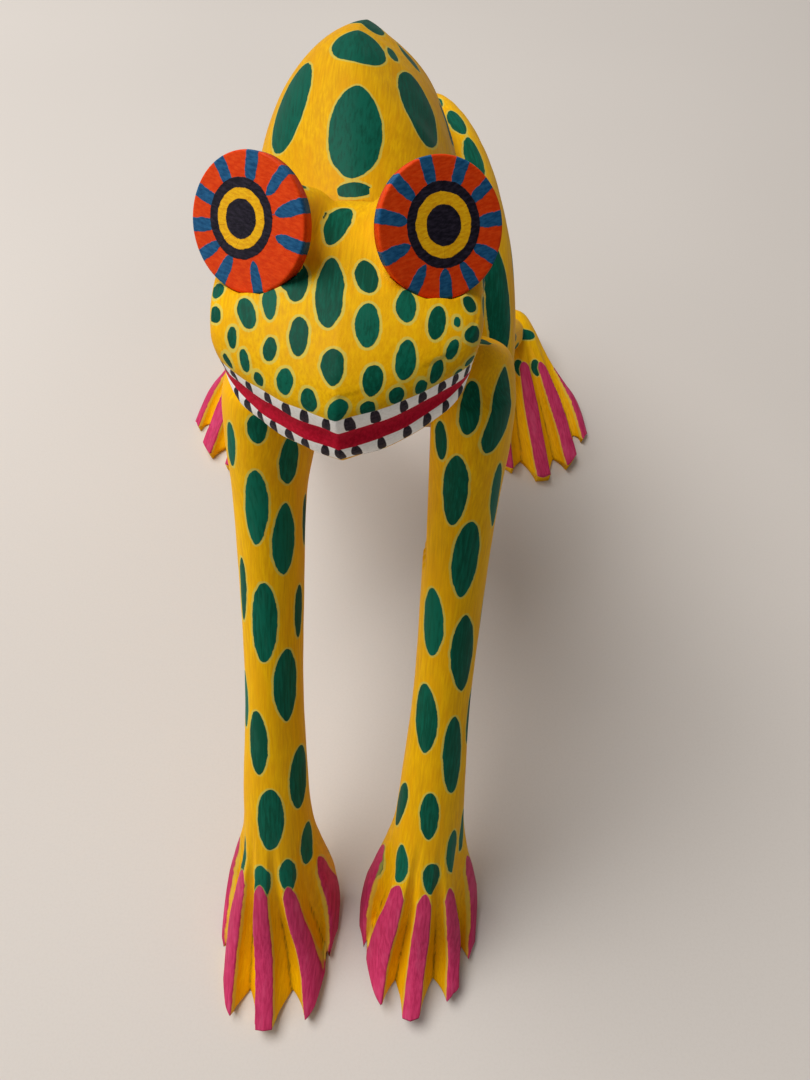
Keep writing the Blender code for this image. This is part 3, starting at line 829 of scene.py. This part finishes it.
def paintMouth(mesh):
    points = meshPoints(mesh)
    outline = evenOutline(600)
    half = outline[:301]
    run = np.concatenate([[0], np.cumsum(np.linalg.norm(np.diff(half, axis=0), axis=1))])
    turn = np.arctan2(half[:, 0], headMiddle - half[:, 1])
    away = np.arctan2(np.abs(points[:, 0]), headMiddle - points[:, 1])
    along = np.interp(away, turn, run) * np.sign(points[:, 0])
    part = np.clip(np.abs(along) / mouthPlan["halfLength"], 0, 1)

    def edge(name):
        tip, corner = mouthPlan[name]
        return tip + (corner - tip) * part ** 2.5

    z = points[:, 2]
    lip = np.maximum(z - edge("top"), edge("bottom") - z)
    slit = np.maximum(z - edge("slitTop"), edge("slitBottom") - z)
    ends = np.abs(along) - mouthPlan["halfLength"]
    tooth = np.full(len(points), 6.0)
    for row, high, low in (("upperTeeth", "top", "slitTop"), ("lowerTeeth", "slitBottom", "bottom")):
        middle = (edge(high) + edge(low)) / 2
        tall = (edge(high) - edge(low)) / 2 + 0.5
        for number, place in enumerate(mouthPlan[row]):
            lean = 0.12 * (z - middle) * np.sign(place)
            wide = 1.3 + 0.14 * math.sin(number * 1.9)
            tooth = np.minimum(tooth, ovalDistance((z - middle) / tall * 2.7, along - place + lean, 2.7, wide, 2.0))
    near = (points[:, 2] > 236) & (points[:, 2] < 262)
    for name, values in (("lipGap", lip), ("slitGap", slit), ("lipEnd", ends), ("toothGap", tooth), ("lipHeight", z)):
        setValues(mesh, name, np.where(near, np.clip(values, -6, 6), 6.0))


# ---- eyes

def eyeObject(side):
    profile = [(0.02, -eyeThickness), (eyeRadius, -eyeThickness), (eyeRadius, -0.45), (eyeRadius - 0.12, -0.13), (eyeRadius - 0.45, 0.0)]
    profile += [(radius, 0.0) for radius in np.linspace(eyeRadius - 0.8, 0.4, 50)]
    grid = turnedGrid(profile, side, 200)
    right, up, axis = eyeFrame(side)
    offset = grid - np.array(eyeMiddle(side))
    disc = np.stack([offset @ right, offset @ up, offset @ axis], -1)
    grid = grid + axis * (uneven(disc, 0.12) * (disc[..., 2] > -0.5))[..., None]
    mesh = gridMesh("eye", grid, {"discAt": disc})
    return makeObject("eye", mesh)


eyePlan = {
    1: {
        "middle": (0.6, 0.7), "pupil": 4.5, "iris": 7.2, "ring": 9.5,
        "rays": (91, 56, 25, -6, -40, -71, -100, -133, -171, 155, 123),
    },
    -1: {
        "middle": (-1.9, 0.6), "pupil": 4.4, "iris": 6.7, "ring": 9.0,
        "rays": (134, 98, 64, 32, -2, -64, -107, -135, -162, 168),
    },
}


def paintEye(mesh, side):
    plan = eyePlan[side]
    disc = getValues(mesh, "discAt", 3)
    x, y = disc[:, 0], disc[:, 1]
    middle = plan["middle"]
    radius = np.hypot(x, y)
    inner = np.hypot(x - middle[0], (y - middle[1]) / 1.03)
    ray = np.full(len(x), 6.0)
    for number, degrees in enumerate(plan["rays"]):
        turn = math.radians(degrees)
        ahead = x * math.cos(turn) + y * math.sin(turn)
        beside = y * math.cos(turn) - x * math.sin(turn)
        share = np.clip((ahead - plan["ring"] + 0.6) / (eyeRadius - plan["ring"]), 0, 1)
        width = (1.6 + 0.16 * math.sin(number * 2.4)) * np.clip(1 - (1 - share) ** 3.2, 0, 1) ** 0.6
        ray = np.minimum(ray, np.where(ahead > 0, np.abs(beside) - width, 6.0))
    setValues(mesh, "rayGap", ray)
    setValues(mesh, "ringGap", inner - plan["ring"])
    setValues(mesh, "irisGap", inner - plan["iris"])
    setValues(mesh, "pupilGap", inner - plan["pupil"])


def eyePaint():
    g = Graph("eyePaint")
    place = g.attribute("discAt", "Vector")
    streak = g.noise(g.scaled(place, (0.35, 1.0, 1.0)), 1.5, 3.0, 0.6)
    blotch = g.noise(place, 0.35, 2.0)
    grit = g.noise(place, 4.0, 2.0, 0.6)
    wobble = (g.noise(place, 0.4, 1.0) - 0.5) * 0.7 + (g.noise(place, 1.6, 2.0) - 0.5) * 0.35
    ray = g.ramp(g.attribute("rayGap") + wobble, 0.10, -0.10)
    ring = g.ramp(g.attribute("ringGap") + wobble * 0.6, 0.10, -0.10)
    iris = g.ramp(g.attribute("irisGap") + wobble * 0.8, 0.10, -0.10)
    pupil = g.ramp(g.attribute("pupilGap") + wobble * 0.7, 0.10, -0.10)
    orange = g.mix(g.ramp(streak, 0.3, 0.7), tone(214, 54, 0), tone(232, 74, 16))
    orange = g.mix(g.ramp(blotch, 0.45, 0.7) * 0.4, orange, tone(202, 50, 6))
    blue = g.mix(g.ramp(streak, 0.3, 0.7), tone(14, 70, 112), tone(38, 98, 142))
    black = g.mix(g.ramp(streak, 0.35, 0.75), tone(20, 17, 28), tone(48, 42, 56))
    yellow = g.mix(g.ramp(streak, 0.3, 0.7), tone(226, 160, 8), tone(250, 192, 20))
    colour = g.mix(ray, orange, blue)
    colour = g.mix(ring, colour, black)
    colour = g.mix(iris, colour, yellow)
    colour = g.mix(pupil, colour, black)
    height = streak * 0.5 + grit * 0.15 + ray * 0.5 + ring * 0.8 + iris * 0.4 + pupil * 0.4
    roughness = 0.48 + (streak - 0.5) * 0.2 - ring * 0.08
    return g.finish(colour, roughness, g.bump(height, 0.00013, 0.7), Specular_IOR_Level=0.08)


def dowelWood():
    g = Graph("dowelWood")
    place = g.add("ShaderNodeTexCoord", {}, {}, "Object")
    grain = g.noise(g.scaled(place, (60.0, 900.0, 900.0)), 1.0, 3.0, 0.6)
    pores = g.noise(place, 2500.0, 2.0)
    colour = g.mix(g.ramp(grain, 0.3, 0.7), tone(186, 150, 104), tone(222, 192, 148))
    colour = g.mix(g.ramp(pores, 0.6, 0.8) * 0.3, colour, tone(140, 104, 66))
    return g.finish(colour, 0.62 + (grain - 0.5) * 0.2, g.bump(grain + pores * 0.3, 0.0001, 0.6))



# ---- spot plans: x, y and z of each spot's middle, its length, width and lean in degrees

headSpots = (
    # crown
    (-3, 26, 271, 17.5, 6, 10), (-3, 2, 270, 21.5, 7, -2), (5.5, 7, 270, 11, 5.5, -12), (-11, 4.5, 270, 11, 5.2, 2),
    # brow and cheeks, left to right
    (-17.5, -0.5, 268, 9.5, 3.7, -6), (-23, -2, 266, 9.5, 4.4, -20), (-32.5, 9, 263, 6.6, 3.8, -38), (-32, 1, 262.5, 7, 3.6, -30),
    (-26.5, -7, 263, 5.5, 2.6, 6), (-28.5, -11, 258.5, 4.4, 2, 10), (-23, -12.5, 261, 5.6, 3, 12),
    (-16.5, -12, 264.5, 6.2, 3.8, 4), (-9.5, -10, 267, 10.3, 4.6, 0), (6.5, -7, 268, 12, 5.8, -3), (15.5, -0.5, 268.5, 9.2, 5, -4),
    (23, -3, 266, 9.4, 4.3, 4), (31, 5.5, 264, 5.2, 4.2, 6), (28, -1.5, 265, 3, 2.2, 0), (36, 19.5, 259, 8.5, 4, 10),
    (36, 9.5, 259.5, 7, 3.4, 0), (32, -2.5, 262, 6, 3.8, 36), (27, -8, 262, 5.2, 2.8, 0), (32.5, -7.5, 257, 4.4, 2.4, 6),
    (29.5, -10.5, 256, 3, 2.2, 0),
    # muzzle
    (23.5, -13.5, 260, 6, 3.4, -6), (20, -17.5, 258.5, 3.8, 3.4, 0), (16, -13.5, 264, 9.8, 4.9, 0), (14, -20.5, 259, 4.2, 3.9, 0),
    (8.5, -19.5, 263, 7.6, 4.9, 0), (7.5, -24.5, 258.5, 4, 3.7, 0), (0.5, -26, 259.5, 5.8, 4.2, 0), (-1, -18, 265.5, 9, 5.3, 0),
    (-6.5, -23.5, 260, 5.6, 4.2, 6), (-12.5, -19.5, 261.5, 6.2, 4.4, 14), (-19.5, -17, 259.5, 3.6, 2.8, 0),
    # sides and nape, beyond the muzzle
    (37, 30, 254, 11, 5, 0), (34, 46, 249, 9, 4.4, 0), (-37, 20, 256, 11, 5, 0), (-36, 34, 252, 11, 4.8, 0), (-33, 48, 247, 9, 4.4, 0),
    (34, 22, 243, 9, 4.6, 0), (-34, 24, 243, 9, 4.6, 0), (28, 40, 262, 8, 4, 20), (-28, 40, 262, 8, 4, -20),
    # eye stalks
    (-15.5, 20, 281, 11, 3.2, -20), (-14.5, 13, 275, 6, 3.4, 0), (-14, 6, 270, 4.4, 3.6, 0), (13, 20, 282, 10, 2.8, 20), (11, 14, 275, 8, 3.4, 8),
    (-30, 26, 270, 9, 4, 0), (31, 27, 270, 9, 4, 0), (-22, 30, 276, 10, 4.2, 0), (23, 30, 276, 10, 4.2, 0),
    (-15, 31, 270, 7, 3.6, 0), (16, 32, 270, 7, 3.6, 0),
)
torsoSpots = (
    (-2, 71, 268, 36, 15.6, -2), (-1, 50, 263.5, 5, 10, 0), (-24, 94, 262, 40, 17, 6), (17, 98, 261, 38, 17, -6), (-3, 113, 271, 25, 17, 0),
    (8, 122, 266, 11, 4, 0), (22, 62, 257, 24, 9, -4), (-26, 60, 254, 20, 9, 4),
    (-3, 148, 261, 28, 12, 0), (-18, 142, 256, 24, 10, 4), (14, 146, 255, 24, 10, -4), (-5, 182, 241, 24, 11, 0),
    (9, 172, 244, 16, 7, -6), (-16, 176, 239, 16, 7, 6), (-3, 212, 213, 18, 9, 0),
    (28, 126, 240, 26, 10, 0), (-36, 120, 240, 28, 11, 0), (-37, 84, 238, 26, 11, 0), (30, 84, 238, 28, 11, 0),
    (26, 158, 226, 20, 8, 0), (-33, 156, 226, 20, 8, 0),
)
# Front leg spots lie on the leg's front and sides, from the shoulder down
legSpots = {
    -1: (
        (-29, 1, 218, 10, 6, 0), (-21, 0, 205, 18, 7, -5), (-38.5, 2, 209, 16, 5, 10), (-32, -10, 192, 28, 7.8, 3),
        (-24, -14, 179.5, 27, 8.4, 0), (-20.5, -26, 150, 22, 5, 0), (-32.5, -32.5, 153, 33, 9, 2), (-26, -46, 128.5, 32, 9.4, 0),
        (-38, -61, 107, 30, 8, 0), (-23, -69, 89, 30, 9.4, 3), (-35, -83, 77, 32, 10.6, 1), (-49, -92, 48, 30, 7.5, 0),
        (-20, -89, 56.5, 23, 7.6, 2), (-40.5, -102, 48, 19, 7.6, 0), (-29, -100, 52, 18, 7.4, -2), (-40, -23, 160, 26, 4.6, 5),
        (-18, -4, 176, 20, 4.5, -5), (-45, -48, 118, 26, 6, 0),
    ),
    1: (
        (44, 8, 221, 26, 10, 22), (34, 4.5, 226, 16, 6, 0), (26, 2.5, 213.5, 13, 4.6, 0), (31, -6, 199.5, 25.6, 8.2, 4),
        (45, -3, 193, 25, 6, -12), (36, -18, 177, 29, 9, 0), (26, -29.5, 153, 27, 8.6, -3), (37.5, -37, 143, 33, 9.4, -5),
        (25, -52.5, 118, 31, 9.6, -4), (36, -62.5, 105, 37, 8, -4), (16.5, -74.5, 75, 28, 7, 12), (28, -80, 81.5, 24, 7.4, -3),
        (40, -90, 61.5, 24, 6.6, -1), (16.5, -94, 55, 21, 8, 0), (30, -99, 54, 17, 7, -3), (5.5, -90.5, 34, 22, 5, 6),
        (48, -50, 112, 26, 5.4, 0), (46.5, -82, 62, 24, 4.6, 0), (47, -20, 150, 24, 5.4, 0),
    ),
}
# Thigh, knee and ankle spots that show from the front and above
hindSpots = {
    1: (
        (47, 82, 197, 46, 12, -8), (37, 150, 210, 30, 8, 0), (30, 178, 208, 24, 7, 0), (22, 200, 200, 18, 6, 0),
        (40, 118, 208, 26, 9, 0), (52, 116, 190, 30, 10, 0), (50, 150, 188, 26, 9, 0), (43, 186, 184, 22, 8, 0),
        (84, 236, 32, 16, 7, 0), (72, 205, 58, 22, 8, 0), (60, 160, 88, 26, 9, 0), (50, 110, 128, 26, 9, 0),
        (80, 214, 24, 12, 5.5, 0), (92, 216, 22, 12, 5.5, 0),
    ),
    -1: (
        (-47, 82, 197, 44, 13, 6), (-40, 118, 208, 26, 9, 0), (-38, 152, 209, 26, 8, 0), (-31, 182, 206, 22, 7, 0),
        (-53, 116, 188, 28, 9, 0), (-51, 150, 186, 26, 9, 0), (-45, 186, 182, 22, 8, 0),
        (-86, 236, 32, 16, 7, 0), (-74, 205, 58, 22, 8, 0), (-62, 160, 88, 26, 9, 0), (-52, 110, 128, 26, 9, 0),
        (-82, 214, 24, 12, 5.5, 0), (-94, 216, 22, 12, 5.5, 0),
    ),
}


# ---- assembly

def alongBody(point):
    return (0.0, 1.0, 0.0)


def legBack(points, normals):
    return (normals @ (0, 0.8, -0.45) > 0.35) & (points[:, 2] > 26)


def hindBack(points, normals):
    low = (points[:, 2] > 24) & (points[:, 2] < 165)
    return (low & (normals[:, 2] < 0.75)) | ((points[:, 2] >= 165) & (normals[:, 2] < 0.05))


def bellyOf(points, normals):
    return (normals[:, 2] < 0.1) & (points[:, 1] > 20)


def chinOf(points, normals):
    return (normals[:, 2] < -0.2) & (points[:, 2] < 243)


def buildFrog():
    plain = paintedWood("torso")
    feet = paintedWood("legs", toes=True)
    face = paintedWood("head", mouth=True)
    iris = eyePaint()

    torso = makeObject("torsoSkin", torsoMesh())
    paintSpots(torso.data, fillSpots(torso.data, torsoSpots, bellyOf, 1.2, (14, 28), 23), alongBody, 3)
    finishPiece(torso, "carvedTorso", plain, "torso")

    head = headObject()
    points = meshPoints(head.data)
    layCoordinates(head.data, points[:, [0, 2, 1]])
    paintSpots(head.data, fillSpots(head.data, headSpots, chinOf, 1.3, (8, 15), 29), alongBody, 5)
    paintMouth(head.data)
    finishPiece(head, "carvedHead", face, "head")

    for side, word in ((1, "right"), (-1, "left")):
        leg = makeObject("legSkin", frontLegMesh(side))
        unseen = fillSpots(leg.data, legSpots[side], legBack, 1.25, (14, 26), 31 + side)
        paintSpots(leg.data, unseen, limbWay((frontLeg,), side, frontMiddle(side)), 7 + side)
        finishPiece(leg, word + "FrontLeg", feet, word + "_front_leg")
        hind = hindLegObject(side)
        unseen = fillSpots(hind.data, hindSpots[side], hindBack, 1.2, (12, 24), 41 + side)
        paintSpots(hind.data, unseen, limbWay((thigh, shank, hindFoot), side, hindMiddle), 17 + side)
        finishPiece(hind, word + "HindLeg", feet, word + "_hind_leg")
        eye = eyeObject(side)
        paintEye(eye.data, side)
        finishPiece(eye, word + "EyeDisc", iris, word + "_eye", slot="painted_eye")

    wood = dowelWood()
    for word in ("neck", "left_shoulder", "right_shoulder", "left_hip", "right_hip"):
        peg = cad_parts[word + "_dowel"]
        peg.data.materials.clear()
        peg.data.materials.append(wood)


def floorPaint():
    g = Graph("floorPaint")
    place = g.add("ShaderNodeTexCoord", {}, {}, "Object")
    cloud = g.noise(place, 1.5, 2.0)
    fibre = g.noise(place, 900.0, 3.0, 0.6)
    colour = g.mix(g.ramp(cloud, 0.35, 0.65), tone(208, 201, 194), tone(214, 207, 200))
    colour = g.mix(g.ramp(fibre, 0.4, 0.7) * 0.12, colour, tone(196, 186, 176))
    return g.finish(colour, 0.85, g.bump(fibre, 0.00005, 0.3), Specular_IOR_Level=0.2)


def layFloor():
    size = 4.0
    mesh = bpy.data.meshes.new("floor")
    corners = [(-size, -size, 0), (size, -size, 0), (size, size, 0), (-size, size, 0)]
    mesh.from_pydata(corners, [], [(0, 1, 2, 3)])
    mesh.materials.append(floorPaint())
    makeObject("floor", mesh)


lightPlan = {
    "key": {"place": (-0.85, 0.45, 1.95), "size": 1.5, "power": 43.0, "colour": (1.0, 0.99, 0.98)},
    "fill": {"place": (-1.3, -0.5, 0.5), "size": 0.8, "power": 3.6, "colour": (1.0, 0.98, 0.95)},
    "world": {"strength": 0.22, "colour": (1.0, 0.985, 0.97)},
}


def lightScene():
    for name in ("key", "fill"):
        plan = lightPlan[name]
        lamp = bpy.data.lights.new(name, "AREA")
        lamp.shape = "DISK"
        lamp.size = plan["size"]
        lamp.energy = plan["power"]
        lamp.color = plan["colour"]
        made = bpy.data.objects.new(name, lamp)
        made.location = plan["place"]
        toward = Vector((0, 0, 0.12)) - made.location
        made.rotation_mode = "QUATERNION"
        made.rotation_quaternion = toward.to_track_quat("-Z", "Y")
        bpy.context.scene.collection.objects.link(made)
    world = bpy.data.worlds.new("studio")
    world.use_nodes = True
    world.node_tree.nodes["Background"].inputs["Color"].default_value = (*lightPlan["world"]["colour"], 1)
    world.node_tree.nodes["Background"].inputs["Strength"].default_value = lightPlan["world"]["strength"]
    bpy.context.scene.world = world


cameraPlan = {"place": (0.0225, -0.2032, 0.400), "turn": 2.3, "down": 59.0, "lens": 26.0}


def placeCamera():
    camera = bpy.data.cameras.new("view")
    camera.lens = cameraPlan["lens"]
    camera.sensor_width = 36.0
    camera.clip_start = 0.01
    made = bpy.data.objects.new("view", camera)
    turn, down = math.radians(cameraPlan["turn"]), math.radians(cameraPlan["down"])
    made.location = cameraPlan["place"]
    made.rotation_euler = (math.pi / 2 - down, 0, turn)
    bpy.context.scene.collection.objects.link(made)
    bpy.context.scene.camera = made
    bpy.context.scene.view_settings.view_transform = "Standard"


buildFrog()
layFloor()
lightScene()
placeCamera()
